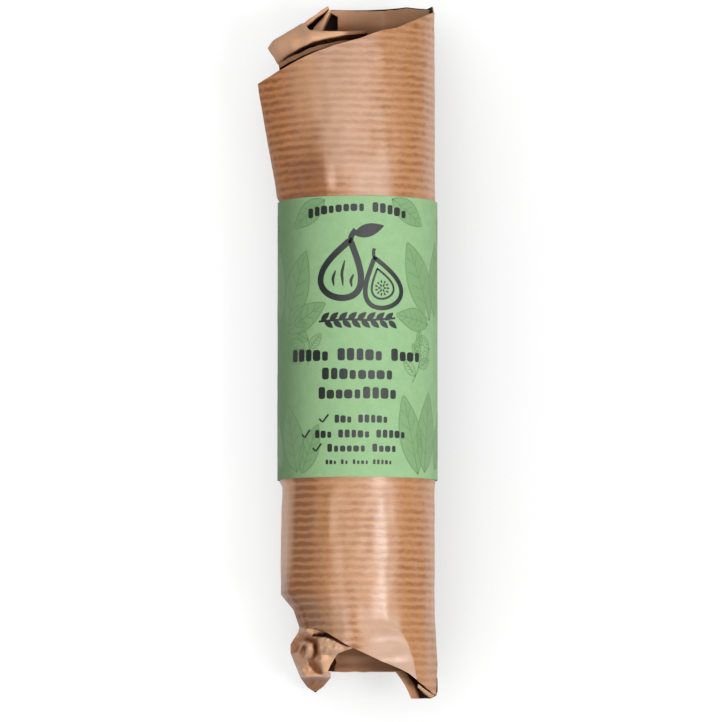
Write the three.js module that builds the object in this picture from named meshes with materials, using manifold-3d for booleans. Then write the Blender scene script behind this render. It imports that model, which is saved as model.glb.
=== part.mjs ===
// A fig roll in its shop wrapper, lying on its side: ribbed brown kraft paper rolled round a firm log of
// fig paste, with a green paper band round the middle. Millimetres, +Z up. The roll lies along Y, its open
// slanted mouth towards +Y and its crumpled end towards -Y, and the band's face looks up.
// The wrapper can't be seen into past its folded ends, so wrapper and log are one solid.

import * as THREE from "three";
import { mergeVertices } from "three/addons/utils/BufferGeometryUtils.js";
import { ConvexGeometry } from "three/addons/geometries/ConvexGeometry.js";
import Module from "manifold-3d";

// Band: a paper sleeve with a small flat underneath, on which the whole roll rests
const BAND_RADIUS = 19;
const BAND_THICKNESS = 0.35;
const BAND_START = -28.4;
const BAND_END = 37.6;
const FLAT_HALF_WIDTH = 3;
const BAND_ARC_STEPS = 72;

// Wrapper
const FITTING_GAP = 0.3;
const WAIST_RADIUS = BAND_RADIUS - BAND_THICKNESS - FITTING_GAP;
const WAIST_STEP = 0.4;
const AXIS_HEIGHT = Math.sqrt(BAND_RADIUS ** 2 - FLAT_HALF_WIDTH ** 2);
const UNDERSIDE_HEIGHT = BAND_THICKNESS + FITTING_GAP;
const RIM_THICKNESS = 0.8;
const RING_STEPS = 56;

// Corners of the two slanted paper edges, from the roll's axis
const MOUTH_LEFT = { x: -23.8, y: 66.2 };
const MOUTH_RIGHT = { x: 18.4, y: 83.3 };
const MOUTH_BACK_Y = 86;
const TAIL_LEFT = { x: -13.8, y: -63.2 };
const TAIL_RIGHT = { x: 18.7, y: -79.3 };
const TAIL_BACK_Y = -73.5;
const POCKET_Y = -80;

// How deep the hollow ends go before the pinched paper closes them, and where their slanted rings begin
const MOUTH_FLOOR_Y = 66;
const TAIL_FLOOR_Y = -60;
const MOUTH_SLANT_Y = 57;
const TAIL_SLANT_Y = -54;
const SLANTED_RINGS = 5;
const RING_SPACING = 6;
const HOLLOW_RINGS = 5;
const HOLLOW_OVERRUN = 4;

// The wrapper's reach from its axis in four directions, as [station along Y, distance] pairs
const REACH_LEFT = [
  [-80, 12.6],
  [-63.2, 13.8],
  [-59, 15.3],
  [-55.5, 18.3],
  [-48, 18.3],
  [-30, 17.7],
  [BAND_START - WAIST_STEP, WAIST_RADIUS],
  [BAND_END + WAIST_STEP, WAIST_RADIUS],
  [BAND_END + 3 * WAIST_STEP, 19.2],
  [MOUTH_LEFT.y, -MOUTH_LEFT.x],
  [MOUTH_BACK_Y, 27],
];
const REACH_RIGHT = [
  [-80, 18.7],
  [-72, 19],
  [-60, 18.5],
  [-30, 18.1],
  [BAND_START - WAIST_STEP, WAIST_RADIUS],
  [60, 18.2],
  [MOUTH_BACK_Y, 18.5],
];
const REACH_UP = [
  [-80, 16],
  [-68, 17.1],
  [-55, 17.8],
  [-30, 18.2],
  [BAND_START - WAIST_STEP, WAIST_RADIUS],
  [BAND_END + WAIST_STEP, WAIST_RADIUS],
  [60, 17.2],
  [MOUTH_BACK_Y, 14.2],
];
const REACH_DOWN = [
  [-80, 11],
  [-72, 15.4],
  [-58, 17.9],
  [BAND_START - WAIST_STEP, WAIST_RADIUS],
  [BAND_END + WAIST_STEP, WAIST_RADIUS],
  [64, 17.7],
  [MOUTH_BACK_Y, 15.6],
];

// Pressed facet over the tail's front: a plane that falls towards +X and towards the tail's edge
const FACET_HEIGHT = 16.4;
const FACET_POINT = { x: 2, y: -66 };
const FACET_FALL_X = -0.24;
const FACET_FALL_Y = 0.28;

// How sharply the section is creased at each side: 1 is round, 2 is a flat-sided crease
const CREASE_LEFT = [
  [-80, 1.6],
  [-55, 1.2],
  [-30, 1],
  [BAND_END + WAIST_STEP, 1],
  [MOUTH_LEFT.y, 1.75],
  [MOUTH_BACK_Y, 1.8],
];
const CREASE_RIGHT = [
  [POCKET_Y, 2],
  [-66, 1.25],
  [-50, 1],
  [68, 1],
  [MOUTH_BACK_Y, 1.6],
];

// Value at y of a line through [station, value] pairs
function along(y, pairs) {
  if (y <= pairs[0][0]) return pairs[0][1];
  for (let i = 1; i < pairs.length; i++) {
    const [y0, v0] = pairs[i - 1];
    const [y1, v1] = pairs[i];
    if (y <= y1) return THREE.MathUtils.mapLinear(y, y0, y1, v0, v1);
  }
  return pairs.at(-1)[1];
}

const facetHeight = (x, y) =>
  AXIS_HEIGHT + FACET_HEIGHT + FACET_FALL_X * (x - FACET_POINT.x) + FACET_FALL_Y * (y - FACET_POINT.y);

// Point of the wrapper's section at station y; angle 0 is +X and a quarter turn is up
function sectionPoint(y, angle, inset = 0) {
  const across = Math.cos(angle);
  const rise = Math.sin(angle);
  const crease = THREE.MathUtils.lerp(along(y, CREASE_RIGHT), along(y, CREASE_LEFT), (1 - across) / 2);
  const sideways = along(y, across < 0 ? REACH_LEFT : REACH_RIGHT) - inset;
  const upright = along(y, rise < 0 ? REACH_DOWN : REACH_UP) - inset;
  const x = across * sideways;
  const height = AXIS_HEIGHT + Math.sign(rise) * Math.abs(rise) ** crease * upright;
  const pressed = Math.min(height, facetHeight(x, y) - inset);
  return new THREE.Vector3(x, y, Math.max(pressed, UNDERSIDE_HEIGHT + inset));
}

// The mouth's edge: a slant over the front, and a straight cut behind with its left corner off
function mouthEdge(x, inFront) {
  if (inFront)
    return along(x, [
      [MOUTH_LEFT.x, MOUTH_LEFT.y],
      [-12.7, 71.2],
      [5.4, 77],
      [MOUTH_RIGHT.x, MOUTH_RIGHT.y],
    ]);
  return along(x, [
    [MOUTH_LEFT.x, MOUTH_LEFT.y],
    [-6.5, MOUTH_BACK_Y],
    [12, MOUTH_BACK_Y],
    [MOUTH_RIGHT.x, MOUTH_RIGHT.y],
  ]);
}

// The tail's edge: a slant over the front, and a shorter back with a pocket left standing at the right
function tailEdge(x, inFront) {
  if (inFront)
    return along(x, [
      [TAIL_LEFT.x, TAIL_LEFT.y],
      [-10, -63.6],
      [-4.9, -65.8],
      [5.5, -71.5],
      [13.5, -74.9],
      [TAIL_RIGHT.x, TAIL_RIGHT.y],
    ]);
  return along(x, [
    [TAIL_LEFT.x, TAIL_LEFT.y],
    [-8, TAIL_BACK_Y],
    [10.2, TAIL_BACK_Y],
    [12.9, POCKET_Y],
    [17.6, POCKET_Y],
    [TAIL_RIGHT.x, TAIL_RIGHT.y],
  ]);
}

const ringAngles = Array.from({ length: RING_STEPS }, (_, i) => (i / RING_STEPS) * 2 * Math.PI);

// Flat ring across the roll
const crossRing = (y, inset) => ringAngles.map((angle) => sectionPoint(y, angle, inset));

// Ring that lies on the wrapper between a flat ring at station y and a slanted edge, share 1 being the edge
function slantedRing(y, edge, share) {
  return ringAngles.map((angle) => {
    let at = y;
    for (let pass = 0; pass < 6; pass++) {
      const rim = edge(sectionPoint(at, angle).x, Math.sin(angle) >= 0);
      at = THREE.MathUtils.lerp(y, rim, share);
    }
    return sectionPoint(at, angle);
  });
}

// Closed body through rings that follow one another towards +Y
function loft(rings) {
  const count = rings[0].length;
  const middle = (ring) =>
    ring.reduce((sum, point) => sum.add(point), new THREE.Vector3()).divideScalar(count);
  const points = [...rings.flat(), middle(rings[0]), middle(rings.at(-1))];
  const firstMiddle = points.length - 2;
  const lastMiddle = points.length - 1;
  const lastRing = (rings.length - 1) * count;
  const faces = [];
  for (let j = 0; j < count; j++) {
    const next = (j + 1) % count;
    faces.push(firstMiddle, j, next);
    faces.push(lastMiddle, lastRing + next, lastRing + j);
    for (let k = 0; k < lastRing; k += count) {
      faces.push(k + j, k + count + j, k + next);
      faces.push(k + count + j, k + count + next, k + next);
    }
  }
  return new THREE.BufferGeometry().setFromPoints(points).setIndex(faces);
}

const wasm = await Module();
wasm.setup();

function solidOf(geometry) {
  const bare = geometry.clone();
  bare.deleteAttribute("normal");
  bare.deleteAttribute("uv");
  const merged = mergeVertices(bare, 1e-4);
  return new wasm.Manifold(
    new wasm.Mesh({
      numProp: 3,
      vertProperties: merged.attributes.position.array,
      triVerts: new Uint32Array(merged.index.array),
    }),
  );
}

function geometryOf(solid) {
  const mesh = solid.getMesh();
  const geometry = new THREE.BufferGeometry();
  geometry.setAttribute("position", new THREE.BufferAttribute(mesh.vertProperties, 3));
  geometry.setIndex(new THREE.BufferAttribute(mesh.triVerts, 1));
  geometry.computeVertexNormals();
  return geometry;
}

// Creased lump of folded paper: the hull of its named fold points
const lump = (...points) => solidOf(new ConvexGeometry(points.map((p) => new THREE.Vector3(...p))));

// Upright fold of paper between its creased top edge and its foot on the wrapper's back wall
function foldWall(topEdge, foot) {
  const thickened = [...topEdge, ...foot].flatMap(([x, y, z]) => [
    [x, y, z],
    [x + RIM_THICKNESS, y - RIM_THICKNESS / 2, z],
  ]);
  return lump(...thickened);
}

// Evenly spread values from start to end, both included
const spread = (start, end, count) =>
  Array.from({ length: count }, (_, i) => THREE.MathUtils.lerp(start, end, i / (count - 1)));

const spacedAlong = (start, end) => spread(start, end, Math.round((end - start) / RING_SPACING) + 1);

// The wrapper before its ends are hollowed: flat rings between the two slanted edges
function wrapperBody() {
  const towardsEdge = spread(0, 1, SLANTED_RINGS + 1).slice(1);
  const flatStations = [
    ...spacedAlong(TAIL_SLANT_Y, BAND_START - WAIST_STEP),
    ...spread(BAND_START, BAND_END + WAIST_STEP, 3),
    ...spacedAlong(BAND_END + 3 * WAIST_STEP, MOUTH_SLANT_Y),
  ];
  return solidOf(
    loft([
      ...towardsEdge.toReversed().map((share) => slantedRing(TAIL_SLANT_Y, tailEdge, share)),
      ...flatStations.map((y) => crossRing(y, 0)),
      ...towardsEdge.map((share) => slantedRing(MOUTH_SLANT_Y, mouthEdge, share)),
    ]),
  );
}

// Hollow inside the wrapper's wall between two stations
function hollow(startY, endY) {
  return solidOf(loft(spread(startY, endY, HOLLOW_RINGS).map((y) => crossRing(y, RIM_THICKNESS))));
}

// Mouth: the inner turn of paper is folded in at the left, in front of two standing pleats
const EAR_FOOT = [-19, 70.9, 17];
const EAR_TIP = [-21.1, 74.8, 17.5];
const EAR_SHOULDER = [-12.8, 81, 18];
const PLEAT_PEAK = [-6.9, 85.3, 16];
const EAR_HEEL = [-15, 74, 8.4];
const SHOULDER_HEEL = [-10.8, 80, 5.4];
const PEAK_HEEL = [-5.6, 84.8, 3.8];
const TONGUE_CREST = [-12.6, 78.5, 26];
const TONGUE_MIDDLE = [-5.5, 78.2, 27];
const TONGUE_TIP = [2, 78, 25];

function mouthFolds() {
  const back = MOUTH_FLOOR_Y - HOLLOW_OVERRUN;
  const tongue = lump(
    EAR_FOOT,
    EAR_TIP,
    TONGUE_CREST,
    TONGUE_MIDDLE,
    TONGUE_TIP,
    [-16.5, back, 17],
    [-11, back, 26],
    [2, back, 29],
    [2, back, 3],
    [2, 78, 3],
    EAR_HEEL,
    [-14, back, 8],
  );
  const outerWall = foldWall([EAR_TIP, EAR_SHOULDER], [EAR_HEEL, SHOULDER_HEEL]);
  const endWall = foldWall([EAR_SHOULDER, PLEAT_PEAK], [SHOULDER_HEEL, PEAK_HEEL]);
  const pleat = foldWall(
    [
      [-8.9, 78.2, 22],
      [-6.6, 84.8, 15],
    ],
    [[-8.3, 78.2, 4], PEAK_HEEL],
  );
  return [tongue, outerWall, endWall, pleat];
}

// Tail: the left side is pinched to a neck and crumpled into a rosette with a folded tip
const NECK = [-13.8, -63.4, 19];
const ROSETTE_LEFT = [-16, -67.3, 15];
const ROSETTE_LOW = [-13.8, -74.8, 10];
const ROSETTE_RIGHT = [-6.2, -73.4, 10];
const TAIL_TIP = [-10, -78.4, 6];
const CREST_LEFT = [-12.1, -67.5, 25];
const CREST_MIDDLE = [-8.8, -69.8, 25];
const CREST_RIGHT = [-4.5, -69.5, 26];
const CREST_CORNER = [-1.2, -68.3, 30];

function tailFolds() {
  const root = TAIL_FLOOR_Y + HOLLOW_OVERRUN;
  const leftLump = lump(
    NECK,
    ROSETTE_LEFT,
    ROSETTE_LOW,
    CREST_LEFT,
    [-12, root, 20],
    [-10.9, -72, 15],
    [-12, root, 9],
    [-12, -72, 8.5],
  );
  const middleLump = lump(
    CREST_MIDDLE,
    [-7.2, -71.7, 22],
    [-10.9, -72, 15],
    ROSETTE_RIGHT,
    [-11, root, 26],
    [-4, root, 28],
    [-11, root, 8],
    [-5.5, root, 4],
    [-6.5, -73, 6.8],
    [-12, -72, 8.5],
  );
  const rightLump = lump(
    CREST_RIGHT,
    CREST_CORNER,
    CREST_MIDDLE,
    [-8, root, 28],
    [-1, root, 31],
    [-6, -72.5, 12],
    [-5.5, root, 6],
  );
  const tip = lump(
    ROSETTE_LOW,
    ROSETTE_RIGHT,
    TAIL_TIP,
    [-10, -71, 14],
    [-10.5, -74.5, 5.5],
    [-12, -70, 8.5],
    [-7, -70, 6.8],
  );
  return [leftLump, middleLump, rightLump, tip];
}

function paperWrap() {
  const mouth = hollow(MOUTH_FLOOR_Y, MOUTH_BACK_Y + HOLLOW_OVERRUN);
  const tail = hollow(POCKET_Y - HOLLOW_OVERRUN, TAIL_FLOOR_Y);
  const hollowed = wrapperBody().subtract(mouth).subtract(tail);
  return [...mouthFolds(), ...tailFolds()].reduce((body, fold) => body.add(fold), hollowed);
}

// Outline of a round section with its underside cut flat at the given depth below the axis
function flattenedCircle(path, radius, flatDepth) {
  const flatHalfAngle = Math.acos(flatDepth / radius);
  return path.absarc(0, 0, radius, -Math.PI / 2 + flatHalfAngle, (3 * Math.PI) / 2 - flatHalfAngle, false);
}

function labelBand() {
  const outline = flattenedCircle(new THREE.Shape(), BAND_RADIUS, AXIS_HEIGHT);
  const bore = flattenedCircle(new THREE.Path(), BAND_RADIUS - BAND_THICKNESS, AXIS_HEIGHT - BAND_THICKNESS);
  outline.holes.push(bore);
  const sleeve = new THREE.ExtrudeGeometry(outline, {
    depth: BAND_END - BAND_START,
    curveSegments: BAND_ARC_STEPS,
    bevelEnabled: false,
  });
  return sleeve.rotateX(Math.PI / 2);
}

const kraft = new THREE.MeshStandardMaterial({ color: 0xc79b7a, roughness: 0.55, metalness: 0 });
const greenPaper = new THREE.MeshStandardMaterial({ color: 0xa0c595, roughness: 0.6, metalness: 0 });

const wrap = new THREE.Mesh(geometryOf(paperWrap()), kraft);
wrap.name = "paper_wrap";

const band = new THREE.Mesh(labelBand(), greenPaper);
band.name = "label_band";
band.position.set(0, BAND_END, AXIS_HEIGHT);

// The origin is under the middle of the whole roll, on the surface that it rests on
const figRoll = new THREE.Group();
figRoll.add(wrap, band);
const extent = new THREE.Box3().setFromObject(figRoll);
figRoll.position.set(-(extent.min.x + extent.max.x) / 2, -(extent.min.y + extent.max.y) / 2, -extent.min.z);

export default figRoll;
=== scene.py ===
import math

import bmesh
import bpy
import numpy as np
from mathutils import Matrix, Vector
from mathutils.geometry import delaunay_2d_cdt


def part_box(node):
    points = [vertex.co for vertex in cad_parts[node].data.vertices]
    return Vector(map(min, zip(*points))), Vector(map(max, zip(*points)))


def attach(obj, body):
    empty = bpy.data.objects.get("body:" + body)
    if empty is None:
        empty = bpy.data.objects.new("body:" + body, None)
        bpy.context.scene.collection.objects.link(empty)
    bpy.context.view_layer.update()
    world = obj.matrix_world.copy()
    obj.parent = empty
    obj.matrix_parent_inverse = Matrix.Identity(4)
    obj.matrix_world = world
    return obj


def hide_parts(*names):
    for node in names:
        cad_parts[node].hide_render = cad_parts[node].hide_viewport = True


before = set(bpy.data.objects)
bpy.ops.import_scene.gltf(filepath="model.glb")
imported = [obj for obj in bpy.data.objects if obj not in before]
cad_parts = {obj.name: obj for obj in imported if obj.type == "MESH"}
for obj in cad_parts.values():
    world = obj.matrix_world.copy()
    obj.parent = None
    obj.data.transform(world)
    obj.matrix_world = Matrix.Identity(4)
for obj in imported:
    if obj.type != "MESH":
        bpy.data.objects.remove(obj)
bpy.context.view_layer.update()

# Driving dimensions in millimetres, in the roll's own frame: its axis lies along Y at x = 0,
# and z = 0 is the surface that it rests on
MM = 0.001
BAND_RADIUS = 19
BAND_START = -28.4
BAND_END = 37.6
FLAT_HALF_WIDTH = 3
AXIS_HEIGHT = math.sqrt(BAND_RADIUS**2 - FLAT_HALF_WIDTH**2)
BAND_PAPER = 0.2
KRAFT_PAPER = 0.22
WAIST_RADIUS = BAND_RADIUS - 2 * BAND_PAPER - 0.1
WAIST_STEP = 0.4
UNDERSIDE_HEIGHT = 0.3
RIB_PITCH = 1.87

# Corners and levels of the two slanted ends
MOUTH_LEFT = (-23.8, 66.2)
MOUTH_RIGHT = (18.4, 83.3)
MOUTH_BACK_Y = 86
TAIL_LEFT = (-13.8, -63.2)
TAIL_RIGHT = (18.7, -79.3)
TAIL_BACK_Y = -73.5
POCKET_Y = -80
MOUTH_SLANT_Y = 57
TAIL_SLANT_Y = -54
MOUTH_FLOOR_Y = 66
TAIL_FLOOR_Y = -60

# The wrapper's reach from its axis in four directions, as (station along Y, distance) pairs
WAIST = [(BAND_START - WAIST_STEP, WAIST_RADIUS), (BAND_END + WAIST_STEP, WAIST_RADIUS)]
REACH_LEFT = [
    (-80, 12.6), (-63.2, 13.8), (-59, 15.3), (-55.5, 18.3), (-48, 18.3), (-30, 17.8), *WAIST,
    (BAND_END + 1.2, 19.2), (66.2, 23.8), (86, 27),
]
REACH_RIGHT = [(-80, 18.7), (-72, 19), (-60, 18.6), (-30, 18.3), *WAIST, (42, 18.4), (86, 18.5)]
REACH_UP = [(-80, 16), (-68, 17.1), (-55, 17.8), (-30, 18.3), *WAIST, (60, 17.2), (86, 14.2)]
REACH_DOWN = [(-80, 11), (-72, 15.4), (-58, 17.9), *WAIST, (64, 17.7), (86, 15.6)]

# How sharply the section is creased at each side: 1 is round, 2 is a flat-sided crease
CREASE_LEFT = [(-80, 1.6), (-55, 1.2), (-30, 1), (BAND_END + WAIST_STEP, 1), (66.2, 1.75), (86, 1.8)]
CREASE_RIGHT = [(-80, 2), (-66, 1.25), (-50, 1), (68, 1), (86, 1.6)]

# Pressed facet over the tail's front: a plane that falls towards +X and towards the tail's edge
FACET_HEIGHT = 18
FACET_POINT = (5, -58)
FACET_FALL = (-0.31, 0.41)

# The slanted edges as (x, y) points from corner to corner, over the front and round the back
MOUTH_FRONT = [
    MOUTH_LEFT, (-18.9, 68.4), (-13.6, 70.5), (-9.3, 72.2), (-5.3, 73.6), (0.5, 75.2), (5.1, 77),
    (9.3, 78.1), (13.8, 80.5), MOUTH_RIGHT,
]
MOUTH_BACK = [
    MOUTH_LEFT, (-18.4, 68.2), (-17.4, 71.5), (-12, 79.5), (-6.5, MOUTH_BACK_Y), (12, MOUTH_BACK_Y),
    (16.9, 84.7), (18.1, 85), MOUTH_RIGHT,
]
TAIL_FRONT = [
    TAIL_LEFT, (-10, -63.6), (-7.2, -64.8), (-4.7, -66.3), (-2.9, -67.4), (-0.8, -68.4), (5.5, -71.3),
    (10, -73.2), (12.3, -74.4), (13.7, -75.5), TAIL_RIGHT,
]
TAIL_BACK = [
    TAIL_LEFT, (-8, TAIL_BACK_Y), (10.2, TAIL_BACK_Y), (12.9, POCKET_Y), (17.6, POCKET_Y), TAIL_RIGHT,
]

# Flat pressed into the loose upper wrapper's front
FLAT_HEIGHT = 16.9
FLAT_POINT = (0, 58)
FLAT_FALL = (-0.13, -0.07)

# Lengthwise creases pressed into the wrapper: place round it from the top, first and last station,
# height, and reach to the left and right
PRESSED_CREASES = [
    (-8, 44, 84, 0.6, 8, 12),
    (-6.7, 38, 43, 1.1, 8, 1.7),
    (4.3, 70, 79, 0.3, 1.4, 5),
    (19, 40, 80, 0.3, 5, 3),
    (-6.9, -62, -31, 0.45, 8, 3.4),
    (7.2, -64, -31, 0.22, 5, 4),
    (-19, -56, -31, 0.5, 4, 6),
    (19, -74, -31, 0.3, 5, 3),
]

band_low, band_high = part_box("label_band")
AXIS_X = (band_low.x + band_high.x) / 2 / MM
MIDDLE_Y = band_low.y / MM - BAND_START


def to_frame(points):
    """Millimetres in the roll's frame to metres in the part's."""
    return (np.asarray(points, float) + (AXIS_X, MIDDLE_Y, 0)) * MM


# Shape helpers

RIPPLE_WAVES = 14


def along(y, pairs, ease=0.3):
    """Value at y of a line through (station, value) pairs, its corners rounded over ease each way."""
    stations, values = np.array(pairs, float).T
    return np.mean([np.interp(y + d, stations, values) for d in np.linspace(-ease, ease, 5)], axis=0)


def smoothstep(low, high, value):
    t = np.clip((value - low) / (high - low), 0, 1)
    return t * t * (3 - 2 * t)


def ripples(u, v, wave_u, wave_v, seed):
    """Smooth seeded unevenness from about -1 to 1, with waves of about wave_u by wave_v."""
    rng = np.random.default_rng(seed)
    total = np.zeros(np.broadcast(u, v).shape)
    for _ in range(RIPPLE_WAVES):
        turn, size, phase = rng.uniform(0, math.tau), rng.uniform(0.6, 1.6), rng.uniform(0, math.tau)
        run = math.cos(turn) * u / wave_u + math.sin(turn) * v / wave_v
        total += np.sin(math.tau * size * run + phase)
    return total / math.sqrt(RIPPLE_WAVES)


def spline(points, steps, softness):
    """Curve through the points along the first axis; softness 0 gives straight runs with corners."""
    points = np.asarray(points, float)
    slopes = np.gradient(points, axis=0) * softness
    t = np.linspace(0, len(points) - 1, (len(points) - 1) * steps + 1)
    i = np.minimum(t.astype(int), len(points) - 2)
    f = (t - i).reshape(-1, *[1] * (points.ndim - 1))
    rise = f * f * (3 - 2 * f)
    start_pull = f * (1 - f) ** 2 * slopes[i]
    end_pull = f * f * (1 - f) * slopes[i + 1]
    return points[i] * (1 - rise) + points[i + 1] * rise + start_pull - end_pull


def loft(rows, down, across, softness):
    """Fine grid through rows of key points."""
    fine = spline(rows, down, softness)
    return np.moveaxis(spline(np.moveaxis(fine, 1, 0), across, softness), 0, 1)


def stacked(*values):
    """Points or places from their coordinates, broadcast to one shape."""
    return np.stack(np.broadcast_arrays(*values), axis=-1)


def paper_places(grid, side):
    """Each grid point's place on the flat sheet in mm, with the side that shows."""
    across = np.linalg.norm(np.diff(grid, axis=1), axis=2).mean(axis=0)
    down = np.linalg.norm(np.diff(grid, axis=0), axis=2).mean(axis=1)
    u, v = np.meshgrid(np.append(0, np.cumsum(across)), np.append(0, np.cumsum(down)))
    return stacked(u, v, side)


def grid_normals(grid, closed=False):
    """Unit normals of a grid of points; closed means that its columns go round."""
    if closed:
        across = np.roll(grid, -1, axis=1) - np.roll(grid, 1, axis=1)
    else:
        across = np.gradient(grid, axis=1)
    normal = np.cross(np.gradient(grid, axis=0), across)
    return normal / np.maximum(np.linalg.norm(normal, axis=2, keepdims=True), 1e-9)


def pushed_out(grid, height, closed=False):
    """A grid moved along its normals."""
    return grid + grid_normals(grid, closed) * height[..., None]


def sheet(grid, thickness, places, closed=False, back_side=1, back=None):
    """A closed thin sheet whose front skin is the grid, as points, faces and paper places.

    back_side is what its back skin shows, and back is that skin's own grid where it has one.
    """
    rows, columns = grid.shape[:2]
    if back is None:
        back = grid - grid_normals(grid, closed) * thickness
    behind = places.copy()
    behind[..., 2] = back_side
    index = np.arange(rows * columns).reshape(rows, columns)
    if closed:
        index = np.concatenate([index, index[:, :1]], axis=1)
    corners = index[:-1, :-1], index[1:, :-1], index[1:, 1:], index[:-1, 1:]
    front = np.stack(corners, axis=-1).reshape(-1, 4)
    edges = [index[0], index[-1, ::-1]]
    if not closed:
        edges += [index[::-1, 0], index[:, -1]]
    rims = []
    for edge in edges:
        a, b = edge[:-1], edge[1:]
        rims.append(np.stack([a, b, b + rows * columns, a + rows * columns], axis=1))
    faces = np.concatenate([front, front[:, ::-1] + rows * columns, *rims])
    points = np.concatenate([grid.reshape(-1, 3), back.reshape(-1, 3)])
    return points, faces.tolist(), np.concatenate([places.reshape(-1, 3), behind.reshape(-1, 3)])


def joined(parts):
    """One set of points, faces and paper places from several."""
    points, faces, places, count = [], [], [], 0
    for part_points, part_faces, part_places in parts:
        points.append(part_points)
        places.append(part_places)
        faces += [[i + count for i in face] for face in part_faces]
        count += len(part_points)
    return np.concatenate(points), faces, np.concatenate(places)


def add_object(name, data):
    thing = bpy.data.objects.new(name, data)
    bpy.context.scene.collection.objects.link(thing)
    return thing


def make_piece(name, parts, material, replaces=None):
    """A mesh object that rides on the roll, from sheets; their paper places drive its pattern."""
    points, faces, places = joined(parts)
    mesh = bpy.data.meshes.new(name)
    mesh.from_pydata(to_frame(points).tolist(), [], faces)
    place = mesh.attributes.new("paper", "FLOAT_VECTOR", "POINT")
    place.data.foreach_set("vector", np.asarray(places, np.float32).ravel())
    soft = bmesh.new()
    soft.from_mesh(mesh)
    bmesh.ops.remove_doubles(soft, verts=soft.verts, dist=1e-7)
    soft.to_mesh(mesh)
    soft.free()
    mesh.polygons.foreach_set("use_smooth", [True] * len(mesh.polygons))
    mesh.set_sharp_from_angle(angle=math.radians(50))
    mesh.materials.append(material)
    piece = add_object(name, mesh)
    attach(piece, "root")
    if replaces:
        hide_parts(replaces)


# The wrapper's outer turn

def plane_height(x, y, height, point, fall):
    return AXIS_HEIGHT + height + fall[0] * (x - point[0]) + fall[1] * (y - point[1])


def lower_of(first, second, ease):
    """The lower of two heights, with the corner between them rounded."""
    gap = np.clip(0.5 + 0.5 * (second - first) / ease, 0, 1)
    return second + (first - second) * gap - ease * gap * (1 - gap)


def sideways_reach(x, y):
    """The wrapper's reach at stations y, to the side that x is on."""
    return np.where(x < 0, along(y, REACH_LEFT), along(y, REACH_RIGHT))


def section(y, angle, inset=0.0, faceted=True):
    """Points of the wrapper at stations y; angle 0 is +X and a quarter turn is up."""
    across, rise = np.cos(angle), np.sin(angle)
    left = (1 - across) / 2
    crease = along(y, CREASE_RIGHT, 2) * (1 - left) + along(y, CREASE_LEFT, 2) * left
    upright = np.where(rise < 0, along(y, REACH_DOWN), along(y, REACH_UP)) - inset
    x = across * (sideways_reach(across, y) - inset)
    z = AXIS_HEIGHT + np.sign(rise) * np.abs(rise) ** crease * upright
    if faceted:
        facet = plane_height(x, y, FACET_HEIGHT, FACET_POINT, FACET_FALL) - inset
        z = lower_of(z, facet, np.interp(x, [1, 8], [1.6, 0.1]))
    z = lower_of(z, plane_height(x, y, FLAT_HEIGHT, FLAT_POINT, FLAT_FALL) - inset, 0.5)
    return stacked(x, y, np.maximum(z, UNDERSIDE_HEIGHT + inset))


def edge_station(x, front, front_line, back_line):
    """Where a slanted edge lies at x, over the front or round the back."""
    front_x, front_y = np.array(front_line, float).T
    back_x, back_y = np.array(back_line, float).T
    return np.where(front, np.interp(x, front_x, front_y), np.interp(x, back_x, back_y))


def slanted_stations(start, lines, angle, count):
    """Stations for each angle from start to a slanted edge, start left out."""
    rim = np.full(angle.shape, float(start))
    for _ in range(12):
        rim = edge_station(section(rim, angle)[..., 0], np.sin(angle) >= 0, *lines)
    shares = np.linspace(0, 1, count + 1)[1:, None]
    return start + shares * (rim - start)


def pressed(around, y):
    """Height of the lengthwise creases."""
    total = np.zeros(around.shape)
    for place, start, end, height, left, right in PRESSED_CREASES:
        offset = around - place
        tent = np.clip(1 - np.where(offset < 0, -offset / left, offset / right), 0, 1)
        tent = 0.6 * tent + 0.4 * smoothstep(0, 1, tent)
        run = smoothstep(start - 4, start + 3, y) * (1 - smoothstep(end - 3, end + 4, y))
        total += height * tent * run
    return total


# What a skin shows, as its third paper place: 0 is the ribbed outside and 1 the plain inside, in painted
# shade.
# Between them are rubbed paper and the folds, from a pale painted highlight to painted shade, and past 1
# is the paper deep inside, in deeper painted shade
RUBBED_SIDE = 0.25
FOLD_SIDE = 0.85
LINER_SIDE = 0.945
WALL_SIDE = 0.96
FLAP_SIDE = 0.975
DEEP_SHADE_SIDE = 1.1

RING_POINTS = 288
RING = np.arange(RING_POINTS) / RING_POINTS * math.tau
LAP_ANGLES = math.radians(208), math.radians(246)
LAP_GAP = 0.25


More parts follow.
